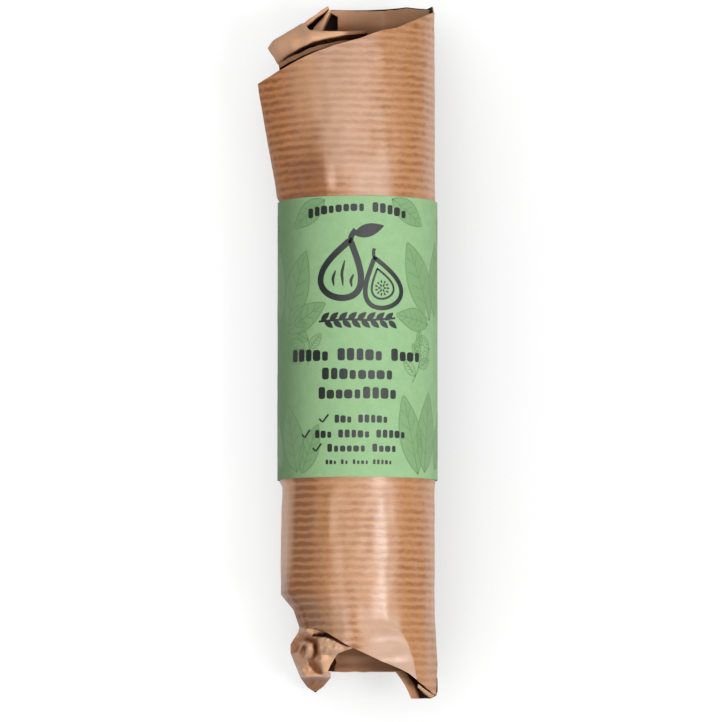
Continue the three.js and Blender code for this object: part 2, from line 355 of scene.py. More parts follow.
def outer_turn():
    """The ribbed outer turn of the wrapper, open at its slanted mouth and tail."""
    flat = np.concatenate([
        np.linspace(TAIL_SLANT_Y, BAND_START - WAIST_STEP, 52),
        np.linspace(BAND_START, BAND_END, 60),
        np.linspace(BAND_END + WAIST_STEP, MOUTH_SLANT_Y, 42),
    ])
    stations = np.concatenate([
        slanted_stations(TAIL_SLANT_Y, (TAIL_FRONT, TAIL_BACK), RING, 56)[::-1],
        np.repeat(flat[:, None], RING_POINTS, axis=1),
        slanted_stations(MOUTH_SLANT_Y, (MOUTH_FRONT, MOUTH_BACK), RING, 64),
    ])
    angle = np.repeat(RING[None, :], len(stations), axis=0)
    grid = section(stations, angle)
    around = np.where(angle < 1.5 * math.pi, math.pi / 2 - angle, 2.5 * math.pi - angle) * BAND_RADIUS
    relief = 0.1 * ripples(around, stations, 14, 34, 3) + 0.05 * ripples(around, stations, 5, 9, 4)
    relief += pressed(around, stations) - 0.1
    pressed_in = section(stations, angle, 0, False)[..., 2] - section(stations, angle)[..., 2]
    rubbed = smoothstep(0, 0.3, pressed_in) * smoothstep(-3, 6, around) * smoothstep(-60, -66, stations)
    relief -= 0.22 * rubbed * np.abs(ripples(around, stations, 16, 4, 6))
    clear = smoothstep(0, 5, np.maximum(stations - BAND_END, BAND_START - stations) - 0.2)
    grid = pushed_out(grid, relief * clear, True)
    grid[..., 2] = np.maximum(grid[..., 2], UNDERSIDE_HEIGHT)
    # Rubbed paper: its ribs are pressed flat, and its pale colour is painted sheen
    places = stacked(around, stations, RUBBED_SIDE * rubbed)
    # The inner skin shows the deepest painted shade
    return sheet(grid, KRAFT_PAPER, places, closed=True, back_side=DEEP_SHADE_SIDE)


def back_lap(start, end):
    """The wrapper's loose lengthwise edge, low on the left at the back."""
    angle = np.linspace(*LAP_ANGLES, 24)[None, :]
    y = np.linspace(start, end, 40)[:, None] + 0 * angle
    lifted = LAP_GAP * smoothstep(LAP_ANGLES[0] + 0.15, LAP_ANGLES[0], angle) + 0 * y
    lifted += 0.08 * ripples(angle * BAND_RADIUS, y, 20, 9, 8)
    grid = pushed_out(section(y, angle, -LAP_GAP, False), lifted)
    grid[..., 2] = np.maximum(grid[..., 2], 0.05)
    return sheet(grid, KRAFT_PAPER, stacked((2.5 * math.pi - angle) * BAND_RADIUS, y, 0))


def crumpled_end(y, depth, seed):
    """The gathered paper that closes a hollow at station y, pleated round a dimple."""
    share = np.linspace(0, 1, 22)[:, None]
    angle = RING[None, ::2]
    rim = section(np.full(angle.shape, float(y)), angle, 0.6)
    middle = np.array([np.mean(rim[..., 0]), y, AXIS_HEIGHT - 2])
    grid = middle + share[..., None] * (rim - middle)
    swirl = angle + 0.9 * (1 - share)
    pleats = np.abs(np.sin(swirl * 5.5 + 0.8 * np.sin(swirl * 3 + seed)))
    grid[..., 1] += depth * (share * (1 - share) * 2.4 * pleats + 0.5 * share**2)
    grid[..., 1] += 0.4 * ripples(grid[..., 0], grid[..., 2], 6, 6, seed)
    # The gathered paper shows the deepest painted shade
    places = stacked(share * angle * 8, share * 15, DEEP_SHADE_SIDE)
    if depth > 0:
        grid, places = grid[::-1], places[::-1]
    return sheet(grid, KRAFT_PAPER, places, closed=True)


def wall_height(x, y, front):
    """Height of the wrapper's front or back wall at x and y."""
    angle = np.arccos(np.clip(x / sideways_reach(x, y), -0.999, 0.999))
    return section(y, angle if front else -angle)[..., 2]


def fold_sheets(folds, seed, back_side=None):
    """Slightly uneven sheets from (grid, side) pairs; the back shows the same side if none is given."""
    parts = []
    for grid, side in folds:
        grid = pushed_out(grid, 0.06 * ripples(grid[..., 0], grid[..., 1], 4, 4, seed))
        behind = side if back_side is None else back_side
        parts.append(sheet(grid, KRAFT_PAPER, paper_places(grid, side), back_side=behind))
    return parts


# The mouth's folds, as rows of points from left to right

TONGUE = [
    [(-18.3, 72.2, 7), (-17.2, 73.4, 7), (-14.8, 75, 6), (-12.2, 76.6, 6), (-10.3, 76.9, 6),
     (-4.8, 77.1, 7), (2.2, 77.6, 8)],
    [(-18.6, 71.6, 13), (-17.4, 72.8, 14), (-15, 74.4, 16), (-12.2, 75.8, 18), (-10.3, 76.3, 19),
     (-4.7, 76.9, 21), (2.2, 77.5, 22)],
    [(-18.9, 71, 19.5), (-17.6, 72, 22), (-15.1, 73.4, 25.4), (-12.1, 74.6, 28), (-10.2, 75.2, 29),
     (-4.6, 76.5, 29.4), (2.3, 77.3, 28.4)],
    [(-20, 72.7, 20), (-18.7, 74, 22.8), (-15.9, 75.2, 26), (-12.6, 76.7, 28), (-10.8, 76.3, 29.4),
     (-5.3, 76.8, 29.8), (2.3, 77.4, 28.4)],
    [(-21.2, 74.8, 18.6), (-20, 76.1, 21.4), (-17.2, 77.5, 23.6), (-13, 79.9, 23.8), (-11.4, 77.9, 27),
     (-5.8, 77.3, 29), (2.3, 77.6, 27.8)],
    [(-20.4, 74.2, 12), (-19.4, 75.6, 12), (-16.6, 77.2, 11), (-12.6, 79.2, 10), (-11.2, 77.4, 12),
     (-5.8, 77.2, 14), (2.3, 77.6, 16)],
]
LEFT_WALL = [
    [(-19.3, 72.6, 12), (-16.4, 75.6, 9), (-12.6, 79.2, 6.4), (-9.6, 82.2, 5.2), (-7, 84.9, 4.4)],
    [(-20.3, 74.6, 16.4), (-17, 77.6, 17.6), (-13, 80.8, 17.6), (-10.3, 82.8, 17.4), (-7.1, 85.3, 16)],
    [(-19.6, 73.9, 16.8), (-16.4, 76.8, 18), (-12.4, 79.9, 18.2), (-9.9, 82.1, 17.8), (-6.8, 84.6, 16.3)],
    [(-18.2, 73.4, 10), (-15.2, 76, 10), (-12, 79.2, 9), (-9.5, 81.5, 8), (-6.8, 84.2, 7)],
]
PLEAT = [
    [(-11.6, 76.5, 8), (-10.9, 78.8, 8), (-10.3, 80.1, 8), (-8.8, 81.8, 8), (-6.9, 84.2, 8)],
    [(-11.6, 76.5, 17.6), (-10.9, 78.8, 18.4), (-10.3, 80.1, 18), (-8.7, 81.9, 17), (-6.9, 84.3, 16.3)],
    [(-9.8, 76.5, 18.6), (-9.2, 79.2, 19.5), (-8.8, 80.3, 19), (-8, 82.1, 18), (-6.75, 84.4, 16.6)],
    [(-8.9, 76.5, 18.6), (-8.3, 78.7, 19.5), (-8, 80, 18.8), (-7.2, 82, 17.8), (-6.3, 84, 16)],
    [(-9.1, 76.5, 6), (-8.5, 78.9, 6), (-8.2, 80.2, 6), (-7.4, 82, 6), (-6.5, 84, 6)],
]


def mouth_liner():
    """The turned-in paper against the hollow's back wall, down from the mouth's back edge."""
    across = np.linspace(0, 1, 44)
    share = np.linspace(0, 1, 30)[:, None]
    left_x = -4.7 - 1.9 * smoothstep(0.945, 0.975, share)
    x = left_x + (17 - left_x) * across
    raised = 6 * smoothstep(7, -5, x)
    top_y = np.interp(x, [-6.8, 12, 17], [85.4, 85.6, 84.3]) - 0.07 * raised
    y = 63 + share * (top_y - 63)
    liner = stacked(x, y, wall_height(x, y, False) + 1.1 + raised)
    liner[..., 2] += 0.25 * ripples(x, y, 9, 5, 21)
    hem = np.repeat(liner[-1:], 3, axis=0)
    above_wall = hem[..., 2] - wall_height(hem[..., 0], 85, False) - 0.3
    hem[..., 2] -= np.array([0.15, 0.6, 1])[:, None] * above_wall
    return np.concatenate([liner, hem])[:, ::-1]


def mouth_folds():
    """The tongue, left wall, pleat, liner and second turn of paper that show in the mouth."""
    tongue = loft(TONGUE, 10, 12, 0.5)
    # Painted shade: the tongue's right part shows the darker flap side
    tongue_side = np.interp(tongue[..., 0], [-6.5, -2], [FOLD_SIDE, FLAP_SIDE])
    left_wall = loft(LEFT_WALL, 9, 8, 0.5)
    # Painted shade inside the left wall
    wall_side = np.interp(np.arange(len(left_wall)), [18, 20], [FOLD_SIDE, DEEP_SHADE_SIDE])[:, None]
    liner = mouth_liner()
    # Painted shade on the liner's lower part, next to the tongue
    liner_side = np.interp(liner[..., 1], [80, 82.5], [FLAP_SIDE, LINER_SIDE])

    edge_x = np.linspace(-18.6, 0.3, 60)
    edge_y = edge_station(edge_x, True, MOUTH_FRONT, MOUTH_BACK)
    reach = np.interp(edge_x, [-18.6, -16, -11.3, -8.9, -6.5, -4.2, -1.8, 0.3],
                      [1.6, 1.8, 1.8, 1.4, 1.1, 0.8, 0.3, 0.1])
    back_off = np.array([9, 5, 2, 0, 0, 0, 0, 0, 0])[:, None]
    beyond = np.array([0, 0, 0, 0, 0.4, 0.66, 0.72, 1, 1.02])[:, None]
    sunk = np.array([5, 6, 7, 8, 5.5, 5.2, 3, 2.6, 9])[:, None]
    second_y = edge_y - back_off + beyond * reach
    second = stacked(edge_x, second_y, wall_height(edge_x, second_y, True) - sunk)
    second[..., 2] += 0.2 * ripples(second[..., 0], second[..., 1], 6, 9, 23)
    # Painted shade: deepest in the sunk part of the second turn, and shaded beyond it
    second_side = np.where(beyond < 0.7, DEEP_SHADE_SIDE, WALL_SIDE)

    return fold_sheets([
        (tongue, tongue_side), (left_wall, wall_side), (loft(PLEAT, 8, 10, 0.3), FOLD_SIDE),
        (liner, liner_side), (second, second_side),
    ], 31)


# The tail's folds

# The rosette's outline, anticlockwise, and the sharp folds that run between its key points; a point
# that stands in two lines joins them
ROSETTE_OUTLINE = [
    (-13.8, -63.4, 20), (-14.1, -64.5, 19.5), (-15, -65.8, 18), (-15.9, -67.2, 16), (-15.9, -69.2, 15),
    (-15.1, -71.3, 13), (-13.6, -75, 8), (-12, -77.2, 5.5), (-10.1, -78.5, 4), (-8.1, -77, 5.5),
    (-6.4, -75, 8), (-6.3, -73.9, 19), (-7, -73.7, 23.3), (-6.4, -72.3, 24), (-5.5, -70.8, 25.5),
    (-4.6, -69.5, 27.5), (-2.9, -68.9, 31), (-1.2, -68.4, 33), (-1, -67.4, 32.5), (-3.4, -65.8, 29),
    (-6, -64.2, 26), (-8.8, -63, 25), (-11.4, -62.6, 22.5), (-12.9, -62.6, 20.5),
]
ROSETTE_FOLDS = {
    "lens": [(-12.3, -63.9, 26.6), (-10.9, -63.4, 27.2), (-8.1, -64.6, 27.8), (-11.1, -65.1, 26),
        (-12.3, -63.9, 26.6)],
    "crevice": [(-10.4, -65.3, 23), (-9.4, -65.1, 15), (-8, -65.1, 14), (-6.3, -65.6, 17),
        (-4.6, -66.5, 24), (-2.9, -67.6, 30)],
    "lip": [(-10.8, -65.6, 25), (-9.3, -65.6, 28), (-7.7, -65.6, 30.5), (-6, -66.1, 32.2),
        (-4.1, -67.2, 33), (-2.2, -68.1, 33.4)],
    "brow": [(-13.1, -65.8, 17.8), (-11.4, -66.3, 18.5), (-9.8, -66.9, 20)],
    "dent": [(-14.5, -66.6, 16.6), (-14.4, -68.4, 13.5)],
    "rib": [(-12.7, -67.1, 24), (-13.9, -69.1, 20)],
    "groove": [(-12.4, -67.9, 18), (-12.7, -69.8, 18)],
    "left curl": [(-11.8, -67, 27.5), (-11.6, -68.5, 28.8), (-12.1, -70.1, 25.6)],
    "right curl": [(-10.6, -67.1, 27), (-10.5, -68.5, 27.6), (-10.9, -70.1, 24.6)],
    "valley": [(-10, -67.7, 17), (-9.9, -69, 17.4)],
    "spur": [(-9.1, -66.7, 29), (-9, -68.2, 28.6), (-8.7, -69.4, 26.6), (-6.4, -69.1, 30.4),
        (-4.6, -68.8, 32), (-2.9, -68.9, 31)],
    "step": [(-8.6, -69.7, 26), (-6.5, -69.8, 26.4), (-4.6, -69.5, 27.5)],
    "facet": [(-8.6, -69.7, 26), (-8.8, -71.2, 26), (-8.1, -73.7, 23.4), (-7, -73.7, 23.3)],
    "hollow": [(-10.5, -70.5, 20), (-11.1, -71.7, 16), (-9.8, -72.9, 15.4), (-8.7, -73.8, 17)],
    "rim": [(-11.9, -70.8, 20.2), (-11.6, -72.3, 19.8), (-10.4, -73.8, 19.8), (-8.5, -74.4, 20.6)],
    "cheek": [(-13, -70.9, 18.4), (-13.1, -73.3, 18), (-12.8, -74.9, 19.6)],
    "strip": [(-12.8, -74.9, 19.6), (-10, -75, 20.6), (-7, -74.9, 20.4)],
    "skirt": [(-13.6, -75, 8), (-12.9, -75.2, 9), (-10.1, -75.3, 9.6), (-7.1, -75.2, 9), (-6.4, -75, 8)],
}
ROSETTE_SPACING = 0.3
SKIRT_Y = -74.9


def triangles(points, edges, inside):
    """Delaunay triangles of 2-D points that keep the given edges."""
    flat = [Vector((float(x), float(y))) for x, y in points]
    found = delaunay_2d_cdt(flat, edges, [], 1 if inside else 0, 1e-5)
    return np.array([tuple(v) for v in found[0]]), [list(face) for face in found[2]]


def doubled_area(a, b, c):
    """Twice the area of a flat triangle, negative where it runs clockwise seen from above."""
    return (b[0] - a[0]) * (c[1] - a[1]) - (c[0] - a[0]) * (b[1] - a[1])


def folded_height(keys, faces, x, y):
    """Height at x and y over flat facets between key points."""
    height = np.full(x.shape, np.nan)
    for a, b, c in (keys[face] for face in faces):
        area = doubled_area(a, b, c)
        if abs(area) < 1e-9:
            continue
        s, t = doubled_area(a, (x, y), c) / area, doubled_area(a, b, (x, y)) / area
        hit = (s >= -1e-6) & (t >= -1e-6) & (s + t <= 1 + 1e-6)
        height = np.where(hit, a[2] + s * (b[2] - a[2]) + t * (c[2] - a[2]), height)
    return height


def field_inside(outline):
    """A staggered field of points inside a closed outline, clear of its edge."""
    low, high = outline.min(axis=0), outline.max(axis=0)
    x, y = np.meshgrid(np.arange(low[0], high[0], ROSETTE_SPACING),
                       np.arange(low[1], high[1], ROSETTE_SPACING * 0.9))
    x[::2] += ROSETTE_SPACING / 2
    field = stacked(x.ravel(), y.ravel())
    apart = np.linalg.norm(field[:, None] - outline[None], axis=2).min(axis=1)
    crossings = np.zeros(len(field), int)
    for a, b in zip(outline, np.roll(outline, -1, axis=0)):
        level = (a[1] > field[:, 1]) != (b[1] > field[:, 1])
        rise = b[1] - a[1] if abs(b[1] - a[1]) > 1e-12 else 1e-12
        crossings += level & (field[:, 0] < a[0] + (field[:, 1] - a[1]) / rise * (b[0] - a[0]))
    return field[(crossings % 2 == 1) & (apart > ROSETTE_SPACING * 0.6)]


def rosette():
    """The gathered corner of the tail: a crumpled closed form over its key folds."""
    lines = [ROSETTE_OUTLINE + ROSETTE_OUTLINE[:1], *ROSETTE_FOLDS.values()]
    points = list(dict.fromkeys(point for line in lines for point in line))
    edges = [(points.index(a), points.index(b)) for line in lines for a, b in zip(line, line[1:])]
    keys = np.array(points, float)
    _, facets = triangles(keys[:, :2], edges, False)

    outline = []
    for a, b in edges[:len(ROSETTE_OUTLINE)]:
        steps = max(2, round(np.linalg.norm(keys[b, :2] - keys[a, :2]) / ROSETTE_SPACING))
        outline += [keys[a] + (keys[b] - keys[a]) * k / steps for k in range(steps)]
    outline = np.array(outline)
    count = len(outline)
    rim = [(i, (i + 1) % count) for i in range(count)]
    flat, faces = triangles(np.concatenate([outline[:, :2], field_inside(outline[:, :2])]), rim, True)

    x, y = flat.T
    samples = [(0, 0), (0.18, 0), (-0.18, 0), (0, 0.18), (0, -0.18)]
    heights = [folded_height(keys, facets, x + dx, y + dy) for dx, dy in samples]
    distance = np.linalg.norm(flat[:, None] - outline[None, :, :2], axis=2)
    apart = distance.min(axis=1)
    on_rim = apart < 1e-4
    top = np.nanmean(np.where(on_rim, outline[distance.argmin(axis=1), 2], heights), axis=0)
    free = smoothstep(0, 1.2, apart)
    wrinkle = 1 - 2 * np.abs(ripples(x, y, 3.2, 3.2, 41))
    top += free * (0.2 * wrinkle + 0.04 * ripples(x, y, 1.4, 1.4, 42))
    swell = smoothstep(0, 3.5, apart) * smoothstep(-4, -9, x)
    under = np.maximum(top - 0.35 * smoothstep(0, 0.5, apart) - 8 * swell, 7 * free)
    under = np.where(on_rim, top, np.minimum(under, top - 0.02))

    points = np.concatenate([stacked(x, y, top), stacked(x, y, under)])
    faces = [face[::-1] if doubled_area(*flat[face]) < 0 else face for face in faces]
    both = faces + [[i + len(flat) for i in face[::-1]] for face in faces]
    # Painted shade: the skirt below the strip shows the darker flap side
    side = FOLD_SIDE + (FLAP_SIDE - FOLD_SIDE) * smoothstep(SKIRT_Y + 0.15, SKIRT_Y - 0.1, y)
    places = np.concatenate([stacked(x, y, side)] * 2)
    return points, both, places


# Small folds in the tail's pocket, as rows of points from its front to its tip
SLIVER = [
    [(14.7, -76.2, 14), (16.5, -77.6, 16.4), (18.3, -79.1, 18.3)],
    [(14.4, -76.7, 23.6), (16.2, -78.1, 21), (18, -79.4, 18.6)],
    [(14.2, -77.3, 22.8), (15.9, -78.7, 20.2), (17.5, -79.9, 17.6)],
    [(14.5, -77.6, 14.2), (15.7, -79, 15.6), (16.9, -79.9, 16.4)],
    [(14.7, -77.6, 13.2), (15.8, -79.1, 15), (17, -79.8, 16)],
]
POCKET_FOLD = [
    [(9.1, -73.5, 7.6), (10.4, -75.3, 9.4), (11.6, -77, 11), (12.9, -79.8, 13)],
    [(8.9, -73.5, 19), (10.2, -75.3, 20), (11.4, -77.1, 19.6), (12.7, -79.9, 18)],
    [(11, -73.4, 18.5), (12.3, -75, 18), (13.4, -76.7, 17.4), (14.1, -79.9, 16)],
    [(11.4, -73.3, 11), (12.9, -74.7, 12), (13.9, -76.5, 13.2), (14.7, -79.8, 14.2)],
    [(11.6, -73.2, 8.6), (13, -74.6, 10.4), (14.1, -76.4, 12.2), (14.8, -79.8, 13.8)],
]


def tail_liner():
    """The turned-in paper against the tail's back wall."""
    x = np.linspace(-6.2, 10.3, 54)
    y = np.linspace(TAIL_FLOOR_Y, TAIL_BACK_Y + 0.2, 44)[:, None]
    liner = stacked(x, y, wall_height(x, y, False) + 1)
    liner[..., 2] += 0.3 * ripples(liner[..., 0], liner[..., 1], 40, 3.2, 25)
    liner[..., 2] -= 1 - smoothstep(-6.2, -4.8, x)
    hem = np.repeat(liner[-1:], 3, axis=0)
    hem[..., 1] -= np.array([0.15, 0.25, 0.25])[:, None]
    hem[..., 2] -= np.array([0.1, 0.5, 1.2])[:, None]
    return np.concatenate([liner, hem])


def tail_folds():
    """The second turn of paper, sliver, pocket fold and liner that show in the tail."""
    edge_x = np.linspace(-13.2, 15, 60)
    edge_y = edge_station(edge_x, True, TAIL_FRONT, TAIL_BACK)
    back_off = np.array([8, 5, 2.5, 1, 0.35])[:, None]
    second_y = edge_y + back_off * np.interp(edge_x, [-13.2, -6, 15], [0.4, 1, 0.6])
    second = stacked(edge_x, second_y, wall_height(edge_x, second_y, True) - 1.2)
    sliver = loft(SLIVER, 8, 12, 0.3)
    # Painted shade on the sliver's lower rows
    sliver_side = np.interp(np.arange(len(sliver)), [16, 20], [FOLD_SIDE, FLAP_SIDE])[:, None]
    liner = tail_liner()
    # Painted shade on the liner, darkest at its left edge
    liner_side = np.interp(liner[..., 0], [-6.2, -1], [FLAP_SIDE, WALL_SIDE])
    # The pocket fold shows the wall side, in painted shade
    return fold_sheets([
        (second, FOLD_SIDE), (sliver, sliver_side), (loft(POCKET_FOLD, 8, 10, 0.3)[:, ::-1], WALL_SIDE),
        (liner, liner_side),
    ], 33, FOLD_SIDE)


# The label band and its print

BAND_SEAM = math.radians(-118)
BAND_LAP = math.radians(26)
PRINT_STEP = 0.7

# How far the ink reaches into the paper, and the heights of the three inks off it
INK_DEPTH = 0.01
SOFT_INK = 0.02
LINE_INK = 0.03
DARK_INK = 0.05


def on_band(u, v, height):
    """A place on the band: u round it from the top towards +X, v along it, height off its paper."""
    turn = np.asarray(u) / BAND_RADIUS
    radius = BAND_RADIUS + height
    return stacked(radius * np.sin(turn), v, AXIS_HEIGHT + radius * np.cos(turn))


def band_sleeve():
    """The band's paper, wound once round the roll with one end tucked under the other at the back."""
    turn = np.linspace(BAND_SEAM, BAND_SEAM - math.tau - BAND_LAP, 300)[None, ::-1]
    length = BAND_END - BAND_START
    v = np.concatenate([[0, 0.15], np.linspace(0.5, length - 0.5, 90), [length - 0.15, length]])
    v = v[:, None] + BAND_START
    tuck = (BAND_PAPER + 0.04) * smoothstep(BAND_LAP * 1.25, BAND_LAP * 0.98, turn - turn.min())
    radius, angle = BAND_RADIUS - tuck, math.pi / 2 + turn
    grid = stacked(radius * np.cos(angle), v, AXIS_HEIGHT + radius * np.sin(angle))
    grid[..., 2] = np.maximum(grid[..., 2], tuck)
    return sheet(grid, BAND_PAPER, stacked((-turn - math.tau) * BAND_RADIUS, v, 0))


def printed(grid_u, grid_v, height, closed=False):
    """A thin slab of ink over a grid of places on the band."""
    front, back = on_band(grid_u, grid_v, height), on_band(grid_u, grid_v, -INK_DEPTH)
    return sheet(front, 0, stacked(grid_u, grid_v, 0), closed, 0, back)


def stroke(path, width, height=LINE_INK, closed=False, taper=0.0):
    """A printed line along (u, v) points, as a thin slab."""
    path = np.asarray(path, float)
    if closed:
        path = np.concatenate([path, path[:1]])
    run = np.append(0, np.cumsum(np.linalg.norm(np.diff(path, axis=0), axis=1)))
    count = max(3, round(run[-1] / PRINT_STEP) + 1)
    s = np.linspace(0, run[-1], count)
    u, v = np.interp(s, run, path[:, 0]), np.interp(s, run, path[:, 1])
    du, dv = np.gradient(u), np.gradient(v)
    if closed:
        du[0] = du[-1] = u[1] - u[-2]
        dv[0] = dv[-1] = v[1] - v[-2]
    size = np.hypot(du, dv)
    share = s / run[-1]
    wide = width * (1 - taper * np.abs(2 * share - 1) ** 2)
    across = np.array([-0.5, 0.5])[None, :] * wide[:, None]
    return printed(u[:, None] - across * (dv / size)[:, None],
                   v[:, None] + across * (du / size)[:, None], height)


def patch(loop, height):
    """A printed shape filled inside a loop of (u, v) points that runs anticlockwise."""
    loop = np.asarray(loop, float)
    middle = loop.mean(axis=0)
    rings = max(3, round(np.linalg.norm(loop - middle, axis=1).max() / PRINT_STEP) + 1)
    share = np.linspace(0, 1, rings)[:, None]
    return printed(middle[0] + share * (loop[:, 0] - middle[0]),
                   middle[1] + share * (loop[:, 1] - middle[1]), height, True)


def leant(u, v, x, y, lean):
    """Points x and y turned anticlockwise by lean, about the place u and v."""
    return stacked(u + x * math.cos(lean) - y * math.sin(lean), v + x * math.sin(lean) + y * math.cos(lean))


def seeds(u, v, wide, tall, rings, size, height, twist=0.0):
    """Rings of long seeds round a middle, from (count, share of the reach) pairs."""
    t = np.arange(8) / 8 * math.tau
    x, y = size * np.cos(t), size * 1.7 * np.sin(t)
    parts = []
    for count, share in rings:
        for k in range(count):
            turn = k / count * math.tau + twist * share
            middle = u + wide * share * math.cos(turn), v + tall * share * math.sin(turn)
            parts.append(patch(leant(*middle, x, y, turn - math.pi / 2), height))
    return parts


def fig_loop(u, v, wide, tall, lean):
    """Loop of a fig, anticlockwise: round below, drawn to a neck above."""
    t = np.arange(48) / 48 * math.tau
    x = -0.61 * wide * np.sin(t) * np.abs(np.sin(t / 2)) ** 1.5 - 0.05 * wide * np.sin(t)
    return leant(u, v, x, tall / 2 * np.cos(t), lean)


def run_and_side(root, tip):
    """The way from root to tip, and the unit direction to its left."""
    run = np.subtract(tip, root)
    return run, np.array([-run[1], run[0]]) / np.linalg.norm(run)


def leaf_loop(root, tip, wide):
    """Loop of a pointed leaf from root to tip, anticlockwise."""
    run, side = run_and_side(root, tip)
    t = np.linspace(0, 1, 13)[:, None]
    half = wide / 2 * np.sin(math.pi * t) ** 0.8 * (1 - 0.35 * t) * 1.25
    right, left = root + t * run - half * side, root + t * run + half * side
    return np.concatenate([right, left[-2:0:-1]])


def line_leaf(root, tip, wide, width=0.22):
    """A leaf drawn in thin line, with its midrib and veins."""
    run, side = run_and_side(root, tip)
    parts = [stroke(leaf_loop(root, tip, wide), width, closed=True), stroke([root, root + 0.92 * run], width)]
    for t in (0.22, 0.38, 0.54, 0.7):
        start = root + t * run
        reach = wide * 0.36 * math.sin(math.pi * (t + 0.1))
        for way in (1, -1):
            parts.append(stroke([start, start + 0.13 * run + way * reach * side], width * 0.8))
    return parts


def heading(turn):
    """Unit direction on the band; turn 0 is along it and a quarter turn is to the right."""
    return np.array([math.sin(turn), math.cos(turn)])


def sprig(root, lean, length, leaves, wide):
    """A line-drawn bent stem with a leaf at its end and others by turns to its left and right."""
    t = np.linspace(0, 1, 12)
    bend = 0.16 * length * np.sin(math.pi * t * 0.8)
    along_u, along_v = heading(lean)
    stem = stacked(root[0] + t * length * along_u + bend * along_v,
                   root[1] + t * length * along_v - bend * along_u)
    parts = [stroke(stem, 0.26)]
    for k in range(leaves):
        spot = stem[int(2 + k * 9 / leaves)]
        way = 1 if k % 2 else -1
        size = wide * (2.3 - 0.9 * k / leaves)
        parts += line_leaf(spot, spot + size * heading(lean + way * 0.95), wide)
    return parts + line_leaf(stem[-1], stem[-1] + wide * 1.7 * heading(lean - 0.3), wide * 0.8)


def line_fruit(u, v, radius):
    """A line-drawn round fruit with seeds in rings."""
    t = np.arange(36) / 36 * math.tau
    parts = []
    for reach in (radius, radius * 0.84):
        parts.append(stroke(stacked(u + reach * np.cos(t), v + reach * np.sin(t)), 0.2, closed=True))
    return parts + seeds(u, v, radius, radius, [(7, 0.32), (13, 0.6)], 0.2, LINE_INK, 1)


# Leaves by root, tip and width; sprigs by root, lean, length, number of leaves and their width;
# fruits by middle and radius
BROAD_LEAVES = [
    ((-20, 7), (-13, 25), 8), ((-24, 9), (-25, 26), 7), ((-19.5, 6), (-7.6, 12.5), 5.5),
    ((-16, -27), (-20, -11), 7.5), ((-14.5, -27.5), (-9.6, -16), 5), ((-23, -26), (-31, -12), 7),
    ((21, 9), (12.6, 27), 8), ((24, 10), (25, 28), 7), ((20, 8), (9.4, 9.8), 5),
    ((16, -27.5), (11.4, -9), 6.5), ((18.5, -27), (20.5, -8), 7), ((24, -26), (31, -12), 7),
    ((-8, 36.8), (-17, 30.5), 5), ((8.5, 36.9), (17.5, 31), 5), ((-33, 4), (-36, 22), 8),
    ((33, 4), (36, 22), 8),
]
SPRIGS = [
    ((-12.5, -2), -0.2, 8, 3, 2.4), ((14.2, -6), 0.2, 9, 3, 2.4), ((-40, -24), 0.1, 24, 7, 4),
    ((41, -22), -0.15, 26, 7, 4),
]
FRUITS = [(-16.5, 1.5, 3.2), (17.8, 2.2, 3), (-29, 31, 3.6), (30, 31, 3.4), (-40, 10, 3.6), (41, 12, 3.4)]


def broad_leaves():
    """Large leaves in a soft tone of the paper, in pairs down each side of the band."""
    return [patch(leaf_loop(*leaf), SOFT_INK) for leaf in BROAD_LEAVES]


def background_print():
    """The thin green lines: the broad leaves' outlines, the sprigs and the fruits."""
    parts = []
    for leaf in BROAD_LEAVES:
        parts += line_leaf(*leaf, 0.3)
    for plant in SPRIGS:
        parts += sprig(*plant)
    for fruit in FRUITS:
        parts += line_fruit(*fruit)
    return parts


# Widths and heights of the blocks that stand for a line's letters, as shares of the largest
BLOCK_WIDTHS = [0.86, 0.72, 1, 0.78, 0.94, 0.66, 1, 0.82]
BLOCK_HEIGHTS = [1, 0.76, 0.76, 0.96, 0.76, 0.76, 0.9, 0.76]
WORD_SPACE = 0.8


def pill(u, v, width, tall):
    """A dark block with round corners, u and v at its middle."""
    corner = min(width, tall) * 0.32
    loop = []
    for k, (su, sv) in enumerate([(1, 1), (-1, 1), (-1, -1), (1, -1)]):
        for t in np.linspace(0, math.pi / 2, 4) + k * math.pi / 2:
            loop.append((u + su * (width / 2 - corner) + corner * math.cos(t),
                         v + sv * (tall / 2 - corner) + corner * math.sin(t)))
    return patch(loop, DARK_INK)


def blocks(v, left, right, tall, words, gap, sag=0.0):
    """A line of dark blocks from left to right, in groups, on one line whose ends sag."""
    pitch = (right - left) / (sum(words) + (len(words) - 1) * WORD_SPACE)
    parts, place = [], left
    for word in words:
        for k in range(word):
            pick = 0 if k == 0 else (k * 3 + word) % len(BLOCK_WIDTHS)
            rise = tall * BLOCK_HEIGHTS[pick]
            u = place + pitch / 2
            low = sag * (2 * (u - left) / (right - left) - 1) ** 2
            width = pitch * BLOCK_WIDTHS[pick] * (1 - gap)
            parts.append(pill(u, v - low + (rise - tall) / 2, width, rise))
            place += pitch
        place += pitch * WORD_SPACE
    return parts


def tick(u, v, size):
    path = [(u - 0.5 * size, v + 0.05 * size), (u - 0.15 * size, v - 0.4 * size),
            (u + 0.6 * size, v + 0.5 * size)]
    return stroke(path, size * 0.2, DARK_INK)


